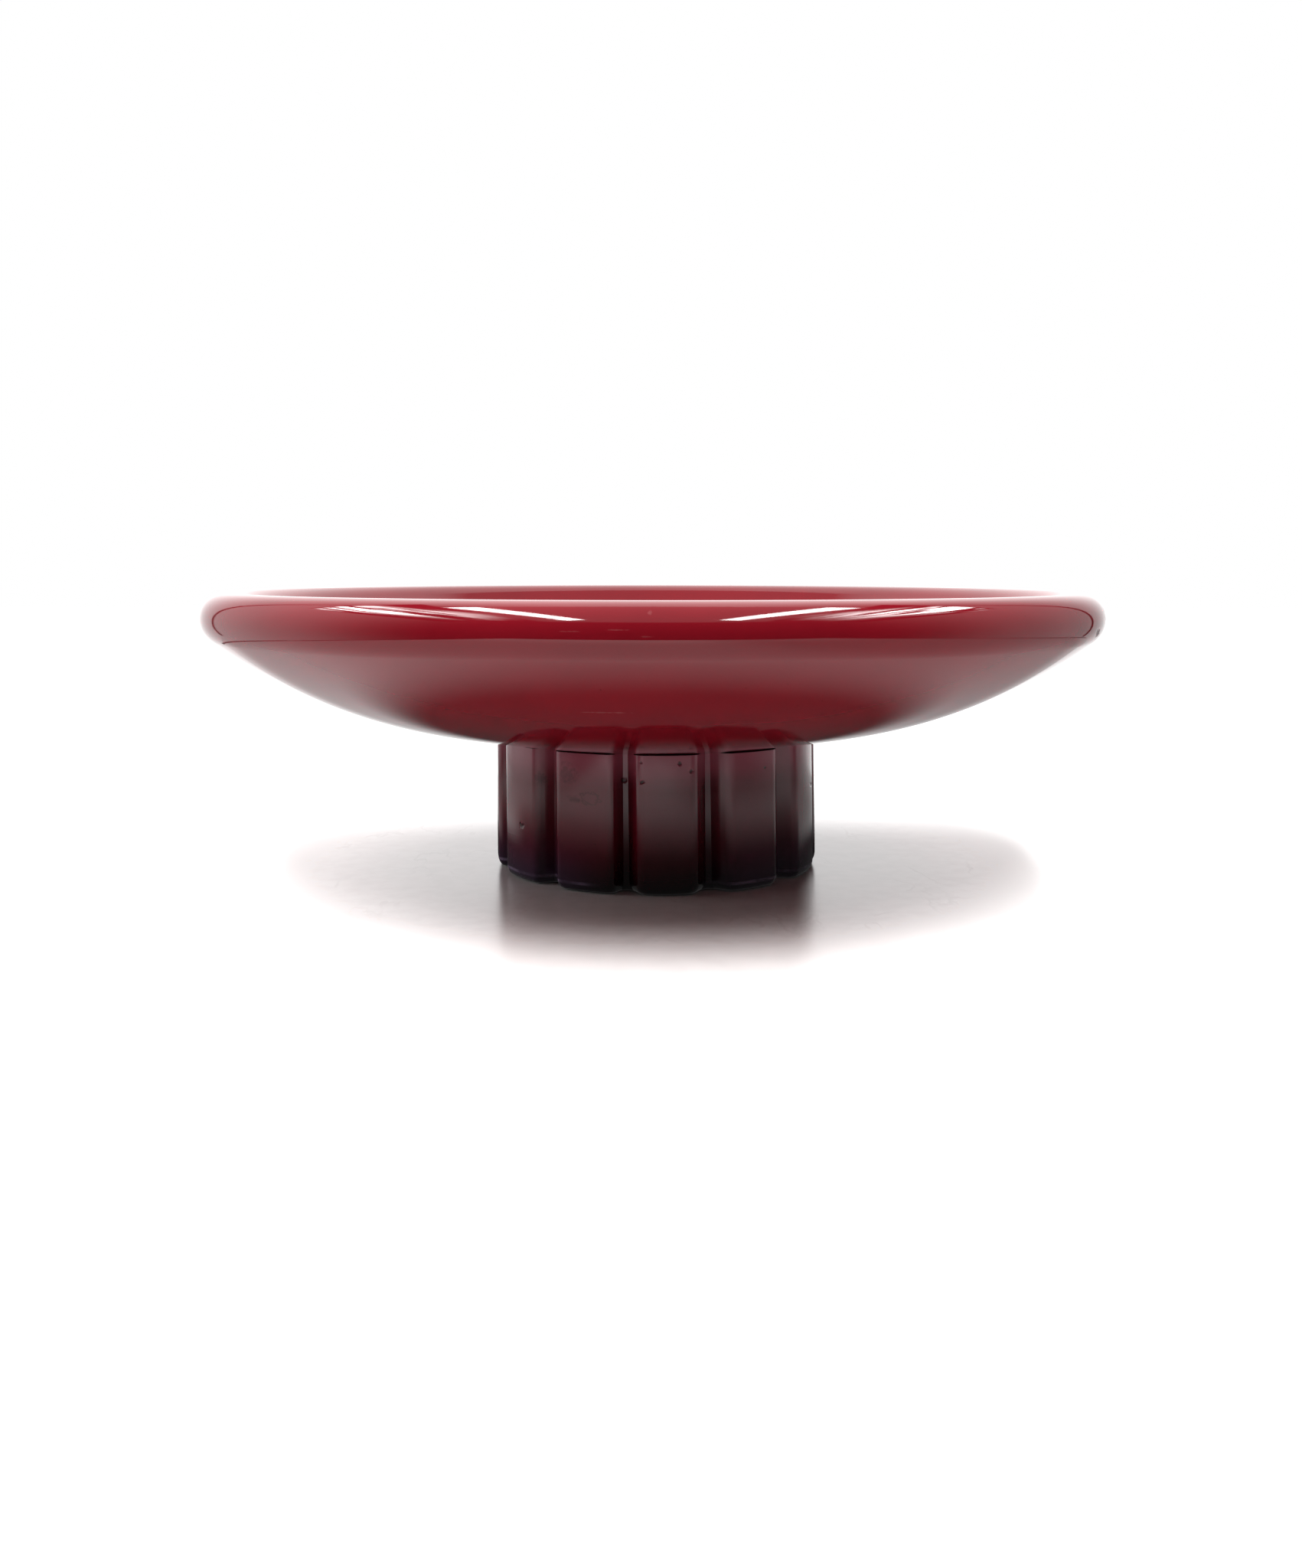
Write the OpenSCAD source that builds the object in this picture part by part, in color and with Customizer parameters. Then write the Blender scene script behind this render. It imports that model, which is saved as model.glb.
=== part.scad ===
// Footed catchall dish: a rolled-lip bowl screwed down onto a fluted foot.
// Millimetres, +Z up, origin on the table under the dish's axis.

/* [Dish] */
// Diameter across the lip
dish_d = 300; // [285:1:320]
// Height of the lip's crest above the table
overall_h = 95.5; // [90:0.5:105]
// Radius of the rolled lip
lip_r = 8.5; // [6.5:0.25:10]
// Slope of the underside beside the foot, in degrees
under_slope = 10; // [8:0.5:12]
// Width of that sloping part of the underside
skirt_w = 27; // [20:1:34]
// Thickness of the floor over the foot
floor_t = 7; // [6.5:0.5:9]
// Radius of the flat floor inside
floor_r = 54; // [44:1:58]
// Diameter of the spigot that centres the dish on the foot
spigot_d = 64; // [56:1:72]
// Height of the spigot
spigot_h = 6; // [4.5:0.5:8]

/* [Foot] */
// Width of the foot over the crowns of its ribs
foot_d = 112.6; // [106:0.2:122]
// Height of the foot
foot_h = 44.7; // [40:0.1:48]
// Number of ribs
rib_count = 12; // [10:1:14]
// Turn of the ring of ribs about the axis, in degrees
rib_turn = 3.4; // [0:0.1:30]
// Radius of each rib's bulging face
rib_face_r = 34; // [26:0.5:42]
// Lean of the ribs towards the axis, in degrees
rib_draft = 1.1; // [0.5:0.1:2]
// Reach of the ribs' crowns past the flat seat under the dish
rib_overhang = 2.4; // [1.2:0.1:4]
// Rounding of a rib's upright edges
rib_corner_r = 0.8; // [0.4:0.1:1.4]
// Rounding of the foot's bottom edge
rib_foot_r = 3.2; // [2:0.1:5]
// Width of a groove between two ribs, at its mouth
groove_mouth = 9.6; // [8:0.1:11]
// Width of a groove's floor
groove_floor = 2.3; // [1.4:0.1:3.2]
// Depth of a groove below the edges of the ribs
groove_depth = 3.4; // [2.6:0.1:4.2]
// Thickness of the web that the screws clamp
web_t = 10; // [7:0.5:13]

/* [Fastening] */
// Number of screws
screw_count = 3; // [3:1:4]
// Diameter of a screw's shank
screw_d = 5; // [4:0.5:5]
// Diameter of a screw's head
head_d = 8.5; // [7.5:0.25:9.5]
// Height of a screw's head
head_h = 5; // [4:0.25:6]
// Width across the flats of the key socket
socket_w = 4; // [3:0.5:5]
// Depth of the key socket
socket_depth = 2.5; // [1.5:0.25:3]
// Diameter of a washer
washer_d = 10; // [9.5:0.5:13]
// Thickness of a washer
washer_t = 1; // [0.8:0.1:1.6]
// Diameter of a threaded insert
insert_d = 7; // [6.5:0.25:8]
// Length of a threaded insert
insert_h = 8; // [6:0.5:9]
// Depth of the relief around an insert's middle
insert_waist = 0.5; // [0.2:0.1:0.6]
// Wall of the spigot outside the inserts
insert_wall = 8.5; // [5:0.5:12]

/* [Pad] */
// Thickness of the felt pad
pad_t = 2; // [1.2:0.1:3]
// Height of the foot above the table, carried by the pad
pad_proud = 0.5; // [0.2:0.1:1]
// Width of the bare ring of the foot around the pad
pad_margin = 2.6; // [1:0.1:6]

/* [Fits] */
// Clearance around and under the spigot
spigot_gap = 0.3; // [0.1:0.05:0.6]
// Clearance of a shank in the foot, each side
shank_gap = 0.25; // [0.1:0.05:0.5]
// Clearance of a shank in its washer, each side
washer_gap = 0.15; // [0.05:0.05:0.3]
// Clearance of a shank in its insert, each side
thread_gap = 0.05; // [0.02:0.01:0.1]
// Clearance of an insert in the spigot, each side
insert_gap = 0.05; // [0.02:0.01:0.1]
// Room past a screw's tip
tip_gap = 1; // [0.5:0.25:2]
// Room around a washer in its well, each side
well_gap = 1.5; // [0.75:0.25:3]
// Clearance around the pad
pad_gap = 0.25; // [0.1:0.05:0.5]

/* [Hidden] */
$fn = 120;
lacquer = "#7c1420";

// Heights and radii that the pieces share
seat_z = pad_proud + foot_h;
floor_z = seat_z + floor_t;
spigot_z = seat_z - spigot_h;
web_z = spigot_z - spigot_gap - web_t;
seat_r = foot_d / 2 - (foot_h - rib_foot_r) * tan(rib_draft) - rib_overhang;
screw_ring_r = spigot_d / 2 - insert_wall - insert_d / 2;
well_d = washer_d + 2 * well_gap;
cut = 1;

// Section of the dish: a sloping skirt, then an arc that runs tangent from the skirt into the lip
lip_c = [dish_d / 2 - lip_r, overall_h - lip_r];
turn = [seat_r + skirt_w, seat_z + skirt_w * tan(under_slope)];
turn_up = [-sin(under_slope), cos(under_slope)];
to_turn = turn - lip_c;
under_r = (lip_r * lip_r - to_turn * to_turn) / (2 * (to_turn * turn_up + lip_r));
under_c = turn + under_r * turn_up;
join_a = atan2(lip_c.y - under_c.y, lip_c.x - under_c.x);
under_steps = 16;
lip_steps = 8;

// Inside, an arc that runs tangent from the lip into the flat floor
inner_drop = lip_c.y - floor_z;
inner_reach = lip_c.x - floor_r;
inner_r = (inner_reach * inner_reach + inner_drop * inner_drop - lip_r * lip_r) / (2 * (lip_r + inner_drop));
inner_c = [floor_r, floor_z + inner_r];
lip_in_a = atan2(inner_c.y - lip_c.y, inner_c.x - lip_c.x);
inner_steps = 20;

// Plan of one rib, crown along +Y: the face arc, two rounded edges and two groove walls
rib_half_a = 180 / rib_count;
face_c = [0, foot_d / 2 - rib_face_r];
corner_a = rib_half_a + asin((face_c.y * sin(rib_half_a) - groove_mouth / 2) / rib_face_r);
corner = face_c + rib_face_r * [sin(corner_a), cos(corner_a)];
groove_r = corner.x * sin(rib_half_a) + corner.y * cos(rib_half_a) - groove_depth;
groove_foot = [
    groove_r * sin(rib_half_a) - groove_floor / 2 * cos(rib_half_a),
    groove_r * cos(rib_half_a) + groove_floor / 2 * sin(rib_half_a)
];
wall = groove_foot - corner;
wall_a = atan2(wall.x, -wall.y);
wall_n = [cos(wall_a), sin(wall_a)];
blend_r = rib_face_r - rib_corner_r;
blend_a = asin((wall_n * corner - rib_corner_r - face_c.y * sin(wall_a)) / blend_r) - wall_a;
blend_c = face_c + blend_r * [sin(blend_a), cos(blend_a)];
root_sink = 2;
root = corner + wall * (1 + root_sink / groove_depth);
heel = root - [0, rib_foot_r];
face_steps = 10;
corner_steps = 4;
fillet_steps = 6;
skim = 0.02;

// The pad fills the foot's underside, inside its rounded edge
pad_recess_r = groove_r - rib_foot_r - pad_margin;

// Points along an arc after its first one, angles from +X
function arc(c, r, from, to, steps) =
    [for (i = [1:steps]) let (a = from + (to - from) * i / steps) c + r * [cos(a), sin(a)]];

// A point reflected across the Y axis
function across(p) = [-p.x, p.y];

// Places its child at each screw
module on_screws() {
    for (i = [0:screw_count - 1])
        rotate([0, 0, i * 360 / screw_count])
            translate([0, screw_ring_r, 0])
                children();
}

// An upright drum, leaning in by a draft above a rounded bottom edge, and a little too tall
module drum(r, draft) {
    edge_c = [r - rib_foot_r, rib_foot_r];
    top = foot_h + cut;
    rotate_extrude()
        polygon(concat(
            [[0, 0], [edge_c.x, 0]],
            arc(edge_c, rib_foot_r, -90, 0, fillet_steps),
            [[r - (top - rib_foot_r) * tan(draft), top], [0, top]]
        ));
}

// The outline of one rib, from its root in the core to its crown
module rib_plan() {
    polygon(concat(
        [heel, root, blend_c + rib_corner_r * wall_n],
        arc(blend_c, rib_corner_r, wall_a, 90 - blend_a, corner_steps),
        arc(face_c, rib_face_r, 90 - blend_a, 90 + blend_a, face_steps),
        arc(across(blend_c), rib_corner_r, 90 + blend_a, 180 - wall_a, corner_steps),
        [across(root), across(heel)]
    ));
}

// One rib: its plan leans in with height, and its foot is rounded about the face's own centre
module rib() {
    spare = 2 * rib_foot_r;
    intersection() {
        translate([0, 0, rib_foot_r])
            rotate([rib_draft, 0, 0])
                translate([0, 0, -spare])
                    linear_extrude(foot_h + 2 * spare)
                        rib_plan();
        translate([0, face_c.y, 0])
            drum(rib_face_r + skim, 0);
    }
}

module dish() {
    color(lacquer)
        difference() {
            rotate_extrude()
                polygon(concat(
                    [[0, floor_z], [0, spigot_z], [spigot_d / 2, spigot_z], [spigot_d / 2, seat_z]],
                    [[seat_r, seat_z], turn],
                    arc(under_c, under_r, under_slope - 90, join_a, under_steps),
                    arc(lip_c, lip_r, join_a, 0, lip_steps),
                    arc(lip_c, lip_r, 0, 90, lip_steps),
                    arc(lip_c, lip_r, 90, lip_in_a, lip_steps),
                    arc(inner_c, inner_r, lip_in_a - 180, -90, inner_steps)
                ));
            on_screws()
                translate([0, 0, spigot_z - cut])
                    cylinder(d = insert_d + 2 * insert_gap, h = insert_h + cut);
        }
}

module fluted_foot() {
    color(lacquer)
        translate([0, 0, pad_proud])
            difference() {
                union() {
                    drum(groove_r, rib_draft);
                    for (i = [0:rib_count - 1])
                        rotate([0, 0, rib_turn + i * 360 / rib_count])
                            rib();
                }
                translate([0, 0, foot_h])
                    cylinder(d = foot_d + 2 * cut, h = 2 * cut);
                translate([0, 0, foot_h - spigot_h - spigot_gap])
                    cylinder(d = spigot_d + 2 * spigot_gap, h = spigot_h + spigot_gap + cut);
                translate([0, 0, -cut])
                    cylinder(r = pad_recess_r, h = pad_t - pad_proud + cut);
                on_screws() {
                    cylinder(d = screw_d + 2 * shank_gap, h = foot_h);
                    cylinder(d = well_d, h = web_z - pad_proud);
                }
            }
}

module threaded_inserts() {
    bore_r = screw_d / 2 + thread_gap;
    collar_h = insert_h / 3;
    rim_r = insert_d / 2;
    color("goldenrod")
        on_screws()
            translate([0, 0, spigot_z])
                rotate_extrude()
                    polygon([
                        [bore_r, 0],
                        [rim_r, 0],
                        [rim_r, collar_h],
                        [rim_r - insert_waist, collar_h + insert_waist],
                        [rim_r - insert_waist, insert_h - collar_h - insert_waist],
                        [rim_r, insert_h - collar_h],
                        [rim_r, insert_h],
                        [bore_r, insert_h]
                    ]);
}

module foot_screws() {
    head_z = web_z - washer_t - head_h;
    tip_z = spigot_z + insert_h - tip_gap;
    edge = 0.1 * screw_d;
    color("silver")
        on_screws()
            translate([0, 0, head_z])
                difference() {
                    rotate_extrude()
                        polygon([
                            [0, 0],
                            [head_d / 2 - edge, 0],
                            [head_d / 2, edge],
                            [head_d / 2, head_h],
                            [screw_d / 2, head_h],
                            [screw_d / 2, tip_z - head_z - edge],
                            [screw_d / 2 - edge, tip_z - head_z],
                            [0, tip_z - head_z]
                        ]);
                    translate([0, 0, -cut])
                        cylinder(d = socket_w / cos(30), h = socket_depth + cut, $fn = 6);
                }
}

module screw_washers() {
    color("gainsboro")
        on_screws()
            translate([0, 0, web_z - washer_t])
                difference() {
                    cylinder(d = washer_d, h = washer_t);
                    translate([0, 0, -cut])
                        cylinder(d = screw_d + 2 * washer_gap, h = washer_t + 2 * cut);
                }
}

module base_pad() {
    color("dimgray")
        cylinder(r = pad_recess_r - pad_gap, h = pad_t);
}

dish();
fluted_foot();
threaded_inserts();
foot_screws();
screw_washers();
base_pad();
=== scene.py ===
"""Looks of the footed catchall dish: a lacquered rolled-lip bowl on a fluted foot, on a white table.

Metres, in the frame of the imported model: +Z up, and the photographed side faces -Y.
"""

import logging
import math
from dataclasses import dataclass
from enum import Enum
from typing import ClassVar, Sequence

import bmesh
import bpy
from mathutils import Matrix, Vector


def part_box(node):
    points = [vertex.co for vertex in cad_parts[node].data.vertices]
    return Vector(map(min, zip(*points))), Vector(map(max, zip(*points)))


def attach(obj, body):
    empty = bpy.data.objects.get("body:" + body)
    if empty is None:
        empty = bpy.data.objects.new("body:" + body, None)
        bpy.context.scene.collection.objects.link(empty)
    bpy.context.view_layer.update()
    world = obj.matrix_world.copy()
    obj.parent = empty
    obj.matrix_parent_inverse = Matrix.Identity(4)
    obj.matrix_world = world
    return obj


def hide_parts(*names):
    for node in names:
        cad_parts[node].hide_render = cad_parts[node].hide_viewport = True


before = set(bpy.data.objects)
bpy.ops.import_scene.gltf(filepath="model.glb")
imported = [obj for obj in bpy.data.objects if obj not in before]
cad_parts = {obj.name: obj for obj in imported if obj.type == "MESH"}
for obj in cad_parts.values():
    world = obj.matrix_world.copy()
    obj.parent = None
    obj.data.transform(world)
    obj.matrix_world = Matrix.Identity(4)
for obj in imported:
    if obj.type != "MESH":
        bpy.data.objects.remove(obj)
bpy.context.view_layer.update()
LOG = logging.getLogger("catchall_dish")
MM = 0.001
BODY = "root"
CREASE = math.radians(30.0)
HOLE_SIDES = 48
MERGE = 0.002 * MM
TOO_SHORT = 0.001 * MM
BAR_HEIGHT = 0.49
BOARD_BACK = 0.2
SEAM = 0.02
SHEET_GLOW = 1.05
BLACK = (0.0, 0.0, 0.0)
WHITE = (1.0, 1.0, 1.0)
Triple = tuple[float, float, float]
Colour = Triple
Span = tuple[float, float]
Edges = list[bmesh.types.BMEdge]
Socket = bpy.types.NodeSocket


class Plane(Enum):
    """The plane a pen draws in, as the axis across it that points at whoever sees arcs turn anticlockwise."""

    SECTION = (0.0, -1.0, 0.0)
    PLAN = (0.0, 0.0, 1.0)


class Axis(Enum):
    """The coordinates a pattern can follow, by the name of the node's output."""

    X = "X"
    Y = "Y"
    Z = "Z"


class Ray(Enum):
    """The kinds of light path that a stage finish tells apart, by the name of the node's output."""

    CAMERA = "Is Camera Ray"
    GLOSSY = "Is Glossy Ray"


class Blemish(Enum):
    """Pits, faint patches, dried drops and pale scratches in the lacquer, as how strongly each shows."""

    SPECK = 0.9
    SMUDGE = 0.35
    RING = 0.25
    SCRATCH = 0.14


def polar(radius: float, angle: float) -> Vector:
    """A plan point at a radius and an angle from +X."""
    return Vector((radius * math.cos(angle), radius * math.sin(angle), 0.0))


class Pen:
    """Draws an outline in a bmesh as connected strokes, starting from one vertex."""

    def __init__(self, bm: bmesh.types.BMesh, start: Vector, plane: Plane) -> None:
        """Puts the pen down.

        Args:
            bm: The mesh to draw in.
            start: The first point.
            plane: The plane that the outline lies in.
        """
        self.bm = bm
        self.plane = plane
        self.tip = bmesh.ops.create_vert(bm, co=start)["vert"][0]

    def line(self, to: Vector, steps: int = 1) -> None:
        """Draws a straight stroke.

        Args:
            to: The end point.
            steps: How many edges the stroke has.
        """
        stride = (Vector(to) - self.tip.co) / steps
        for _ in range(steps):
            self.tip = bmesh.ops.extrude_vert_indiv(self.bm, verts=[self.tip])["verts"][0]
            bmesh.ops.translate(self.bm, verts=[self.tip], vec=stride)

    def arc(self, centre: Vector, angle: float, steps: int) -> None:
        """Draws a round stroke.

        Args:
            centre: The centre of the arc.
            angle: The angle to turn, anticlockwise if positive.
            steps: How many edges the arc has.
        """
        made = bmesh.ops.spin(
            self.bm, geom=[self.tip], cent=centre, axis=self.plane.value, angle=angle, steps=steps
        )
        self.tip = next(v for v in made["geom_last"] if isinstance(v, bmesh.types.BMVert))


def finish_mesh(bm: bmesh.types.BMesh, name: str, crease: float) -> bpy.types.Object:
    """Closes a mesh, turns its faces outwards and makes it an object at the origin.

    Args:
        bm: The mesh, which is freed.
        name: The name of the piece.
        crease: Edges bent more than this angle stay sharp.

    Returns:
        The new object, linked to the scene.
    """
    bmesh.ops.remove_doubles(bm, verts=bm.verts[:], dist=MERGE)
    bmesh.ops.dissolve_degenerate(bm, edges=bm.edges[:], dist=TOO_SHORT)
    bmesh.ops.recalc_face_normals(bm, faces=bm.faces[:])
    mesh = bpy.data.meshes.new(name)
    bm.to_mesh(mesh)
    bm.free()
    mesh.shade_smooth()
    mesh.set_sharp_from_angle(angle=crease)
    piece = bpy.data.objects.new(name, mesh)
    bpy.context.scene.collection.objects.link(piece)
    return piece


def lathe(bm: bmesh.types.BMesh, facets: int) -> None:
    """Turns the outline in a mesh once round the Z axis.

    Args:
        bm: The mesh, which holds the outline alone.
        facets: How many sides the turned shape has.
    """
    outline = bm.verts[:] + bm.edges[:]
    bmesh.ops.spin(
        bm, geom=outline, cent=(0, 0, 0), axis=(0, 0, 1), angle=2 * math.pi, steps=facets, use_merge=True
    )


def drill(piece: bpy.types.Object, bore: float, low: float, high: float, places: Sequence[Vector]) -> None:
    """Cuts round holes along Z into a piece.

    Args:
        piece: The piece to drill.
        bore: The radius of the holes.
        low: The height at which they start.
        high: The height at which they end.
        places: The plan positions of their axes.
    """
    bm = bmesh.new()
    for place in places:
        turn = Matrix.Translation(place + Vector((0, 0, (low + high) / 2)))
        bmesh.ops.create_cone(
            bm, cap_ends=True, segments=HOLE_SIDES, radius1=bore, radius2=bore, depth=high - low, matrix=turn
        )
    cutter = finish_mesh(bm, "cutter", CREASE)
    hole = piece.modifiers.new("holes", "BOOLEAN")
    hole.object = cutter
    hole.solver = "EXACT"
    shaped = piece.evaluated_get(bpy.context.evaluated_depsgraph_get())
    mesh = bpy.data.meshes.new_from_object(shaped)
    old = piece.data
    piece.modifiers.remove(hole)
    piece.data = mesh
    mesh.name = piece.name
    bpy.data.meshes.remove(old)
    bpy.data.objects.remove(cutter)


class Nodes:
    """A node tree and the patterns that can be made in it."""

    def __init__(self, tree: bpy.types.NodeTree, coordinates: str) -> None:
        """Empties the tree.

        Args:
            tree: The tree.
            coordinates: The texture coordinates that its patterns lie on.
        """
        self.tree = tree
        tree.nodes.clear()
        self.place = self.add("ShaderNodeTexCoord").outputs[coordinates]

    def add(self, kind: str, **settings: str) -> bpy.types.Node:
        """Adds a node.

        Args:
            kind: The node's type.
            settings: Its settings.

        Returns:
            The node.
        """
        node = self.tree.nodes.new(kind)
        for name, value in settings.items():
            setattr(node, name, value)
        return node

    def put(self, socket: Socket, value: Socket | Colour | float) -> None:
        """Links a pattern to a socket, or sets the socket to a plain value.

        Args:
            socket: The socket.
            value: The pattern, or the colour, vector or number that is the same all over.
        """
        if isinstance(value, Socket):
            self.tree.links.new(value, socket)
        elif socket.type == "RGBA":
            socket.default_value = (*value, 1.0)
        else:
            socket.default_value = value

    def axis(self, axis: Axis) -> Socket:
        """Takes one of the coordinates.

        Args:
            axis: Which one.

        Returns:
            The place along that axis.
        """
        node = self.add("ShaderNodeSeparateXYZ")
        self.put(node.inputs["Vector"], self.place)
        return node.outputs[axis.value]

    def ray(self, kind: Ray) -> Socket:
        """1 for light paths of that kind, or 0."""
        return self.add("ShaderNodeLightPath").outputs[kind.value]

    def noise(self, scale: float, detail: float = 3.0, stretch: Triple = (1, 1, 1)) -> Socket:
        """A cloudy pattern.

        Args:
            scale: Clouds per metre.
            detail: How many octaves.
            stretch: Scale of the pattern along each axis.

        Returns:
            The pattern's value, about 0 to 1.
        """
        turn = self.add("ShaderNodeMapping")
        self.put(turn.inputs["Scale"], stretch)
        self.put(turn.inputs["Vector"], self.place)
        cloud = self.add("ShaderNodeTexNoise")
        self.put(cloud.inputs["Scale"], scale)
        self.put(cloud.inputs["Detail"], detail)
        self.put(cloud.inputs["Vector"], turn.outputs["Vector"])
        return cloud.outputs["Fac"]

    def dots(self, scale: float) -> Socket:
        """Distance to the nearest of many scattered points.

        Args:
            scale: Points per metre.

        Returns:
            The distance, in cells.
        """
        cells = self.add("ShaderNodeTexVoronoi")
        self.put(cells.inputs["Scale"], scale)
        self.put(cells.inputs["Vector"], self.place)
        return cells.outputs["Distance"]

    def ramp(self, value: Socket, low: float, high: float, start: float = 0.0, end: float = 1.0) -> Socket:
        """A value carried smoothly from one range to another.

        Args:
            value: What is mapped.
            low: The value that gives start.
            high: The value that gives end.
            start: The result at low and before it.
            end: The result at high and past it.

        Returns:
            The mapped value.
        """
        span = self.add("ShaderNodeMapRange", interpolation_type="SMOOTHSTEP")
        for name, number in zip(("From Min", "From Max", "To Min", "To Max"), (low, high, start, end)):
            self.put(span.inputs[name], number)
        self.put(span.inputs["Value"], value)
        return span.outputs["Result"]

    def math(self, operation: str, first: Socket, second: Socket | float = 0.0) -> Socket:
        """Joins two values.

        Args:
            operation: The name of the node's operation.
            first: The first value.
            second: The second value, which an operation on one value leaves aside.

        Returns:
            The result.
        """
        node = self.add("ShaderNodeMath", operation=operation)
        self.put(node.inputs[0], first)
        self.put(node.inputs[1], second)
        return node.outputs["Value"]

    def product(self, first: Socket, *others: Socket | float) -> Socket:
        """Multiplies values, from the first on.

        Args:
            first: The first value.
            others: What it is multiplied by, one after the other.

        Returns:
            The product.
        """
        for other in others:
            first = self.math("MULTIPLY", first, other)
        return first

    def mix(self, share: Socket, first: Socket | Colour, second: Socket | Colour) -> Socket:
        """A colour between two others.

        Args:
            share: How much of the second colour shows.
            first: The colour at a share of 0.
            second: The colour at a share of 1.

        Returns:
            The mixed colour.
        """
        node = self.add("ShaderNodeMix", data_type="RGBA")
        self.put(next(i for i in node.inputs if i.name == "Factor" and i.enabled), share)
        for socket, colour in zip((i for i in node.inputs if i.type == "RGBA"), (first, second)):
            self.put(socket, colour)
        return next(o for o in node.outputs if o.type == "RGBA")

    def blend(self, share: Socket, first: Socket | float, second: Socket | float) -> Socket:
        """A value between two others.

        Args:
            share: How much of the second value counts.
            first: The value at a share of 0.
            second: The value at a share of 1.

        Returns:
            The value between them.
        """
        node = self.add("ShaderNodeMix")
        for name, value in zip(("Factor", "A", "B"), (share, first, second)):
            self.put(node.inputs[name], value)
        return node.outputs["Result"]

    def near(self, spot: Vector, stretch: Vector) -> Socket:
        """The distance from a place.

        Args:
            spot: The place.
            stretch: What each axis counts for.

        Returns:
            The distance.
        """
        away = self.add("ShaderNodeVectorMath", operation="SUBTRACT")
        self.put(away.inputs[0], self.place)
        self.put(away.inputs[1], spot)
        count = self.add("ShaderNodeVectorMath", operation="MULTIPLY")
        self.put(count.inputs[0], away.outputs["Vector"])
        self.put(count.inputs[1], stretch)
        length = self.add("ShaderNodeVectorMath", operation="LENGTH")
        self.put(length.inputs[0], count.outputs["Vector"])
        return length.outputs["Value"]

    def from_axis(self) -> Socket:
        """The distance from the upright axis of the dish."""
        return self.near(Vector((0, 0, 0)), Vector((1, 1, 0)))


class Bench(Nodes):
    """A material with a Principled shader, and the nodes that feed it."""

    def __init__(self, name: str) -> None:
        """Starts an empty material.

        Args:
            name: The material's name.
        """
        self.material = bpy.data.materials.new(name)
        self.material.use_nodes = True
        super().__init__(self.material.node_tree, "Object")
        self.shader = self.add("ShaderNodeBsdfPrincipled")
        self.put(self.add("ShaderNodeOutputMaterial").inputs["Surface"], self.shader.outputs["BSDF"])

    def constant(self, **values: float | Colour) -> None:
        """Sets sockets of the shader that are the same all over, named with underscores for spaces."""
        for name, value in values.items():
            self.put(self.shader.inputs[name.replace("_", " ")], value)

    def feed(self, name: str, value: Socket) -> None:
        """Links a pattern to the shader's socket of that name."""
        self.put(self.shader.inputs[name], value)

    def bump(self, height: Socket, depth: float) -> None:
        """Roughens the surface by a height pattern.

        Args:
            height: The pattern, 0 to 1.
            depth: How high 1 stands, in metres.
        """
        node = self.add("ShaderNodeBump")
        self.put(node.inputs["Distance"], depth)
        self.put(node.inputs["Height"], height)
        self.feed("Normal", node.outputs["Normal"])


@dataclass(frozen=True)
class Mark:
    """A small blemish on a lacquered piece, placed as seen from the front, in millimetres."""

    kind: Blemish
    aside: float
    height: float
    size: float
    flat: float = 1.0
    ragged_scale: ClassVar[float] = 700.0
    ring_thickness: ClassVar[float] = 0.25
    edge: ClassVar[Span] = (1.2, 0.3)

    def share(self, bench: Nodes) -> Socket:
        """How much of the mark shows.

        Args:
            bench: The material.

        Returns:
            The share, 0 to 1.
        """
        spot = Vector((self.aside, 0, self.height)) * MM
        size = self.size * MM
        away = bench.near(spot, Vector((1 / self.flat, 0, 1)))
        wobble = bench.ramp(bench.noise(self.ragged_scale), 0.2, 0.8, start=-0.5 * size, end=0.5 * size)
        ragged = bench.math("ADD", away, wobble)
        if self.kind is Blemish.RING:
            ragged = bench.math("ABSOLUTE", bench.math("SUBTRACT", ragged, size))
            size *= self.ring_thickness
        outer, inner = (limit * size for limit in self.edge)
        shown = bench.ramp(ragged, outer, inner, end=self.kind.value)
        return bench.product(shown, bench.math("LESS_THAN", bench.axis(Axis.Y), 0.0))


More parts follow.
